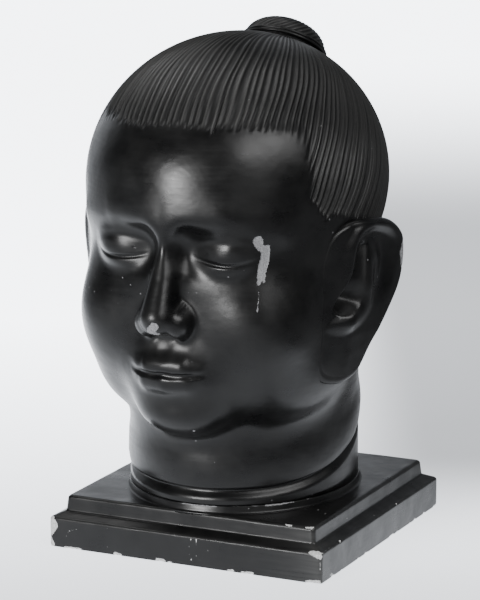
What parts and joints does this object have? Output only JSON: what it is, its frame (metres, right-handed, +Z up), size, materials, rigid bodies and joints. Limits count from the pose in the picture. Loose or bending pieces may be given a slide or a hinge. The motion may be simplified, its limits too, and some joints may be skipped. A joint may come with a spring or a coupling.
{
  "type": "samurai head sculpture",
  "caption": "Life-size-plus plaster head with combed-back hair, a coiled topknot, long ears and closed eyes, on a stepped square plinth, painted black; a decorative bust.",
  "frame": {"origin": "centre of the plinth's underside, on the surface it stands on", "axes": "+Z up; the face looks along -Y; the figure's left ear is on +X"},
  "size_m": [0.27, 0.2939, 0.4145],
  "materials": {
    "head_paint": "satin black paint brushed over cast plaster, with small chips to the pale plaster at the temple, the nose tip and the ear's rim",
    "plinth_paint": "satin black paint over cast plaster, chipped to the pale plaster along its edges and corners"
  },
  "bodies": {
    "root": {"head": "head_paint", "plinth": "plinth_paint"}
  },
  "joints": []
}
